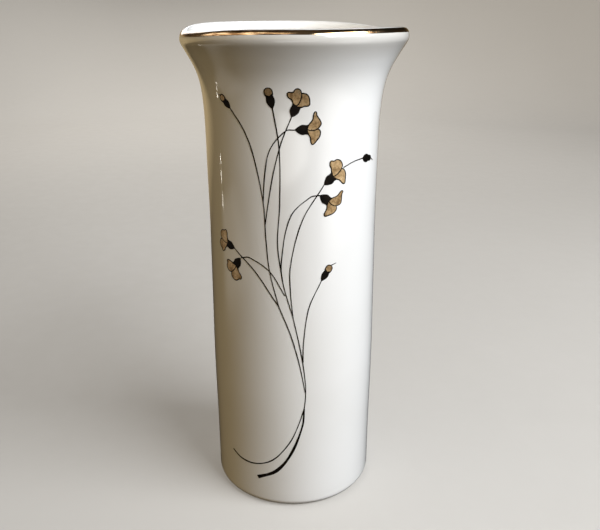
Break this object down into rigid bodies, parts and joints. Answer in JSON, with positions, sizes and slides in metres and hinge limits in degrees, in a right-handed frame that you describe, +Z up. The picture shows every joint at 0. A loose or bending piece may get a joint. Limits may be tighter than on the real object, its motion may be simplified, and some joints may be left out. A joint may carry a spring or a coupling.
{
  "type": "porcelain vase",
  "caption": "Tall straight-sided porcelain vase with a flared, gently dipping mouth, gilded lip and a printed spray of long-stemmed bell flowers.",
  "frame": {"origin": "centre of the foot ring, on the surface that the vase stands on", "axes": "+Z up along the vase's axis, -Y towards the decorated front, +X to the viewer's right"},
  "size_m": [0.1061, 0.106, 0.24],
  "materials": {
    "bare_clay": "unglazed, fine matt",
    "porcelain_glaze": "clear gloss glaze over white porcelain",
    "burnished_gold": "thin burnished gilding",
    "printed_gold": "satin fired-on gold print",
    "black_enamel": "semi-gloss fired-on enamel print"
  },
  "bodies": {
    "root": {"porcelain_body": "bare_clay", "glaze_coat": "porcelain_glaze", "underside_glaze": "porcelain_glaze", "gold_rim_band": "burnished_gold", "stem_spray": "black_enamel", "top_flower_line": "black_enamel", "top_flower_front_petal": "printed_gold", "top_flower_rear_petal": "printed_gold", "upper_right_flower_line": "black_enamel", "upper_right_flower_front_petal": "printed_gold", "upper_right_flower_rear_petal": "printed_gold", "right_upper_flower_line": "black_enamel", "right_upper_flower_front_petal": "printed_gold", "right_upper_flower_rear_petal": "printed_gold", "right_lower_flower_line": "black_enamel", "right_lower_flower_front_petal": "printed_gold", "right_lower_flower_rear_petal": "printed_gold", "left_upper_flower_line": "black_enamel", "left_upper_flower_front_petal": "printed_gold", "left_upper_flower_rear_petal": "printed_gold", "left_lower_flower_line": "black_enamel", "left_lower_flower_front_petal": "printed_gold", "left_lower_flower_rear_petal": "printed_gold", "upper_left_bud_line": "black_enamel", "upper_left_bud_petal": "printed_gold", "top_bud_line": "black_enamel", "top_bud_petal": "printed_gold", "right_bud_line": "black_enamel", "right_bud_petal": "printed_gold", "far_right_bud_line": "black_enamel"}
  },
  "joints": []
}
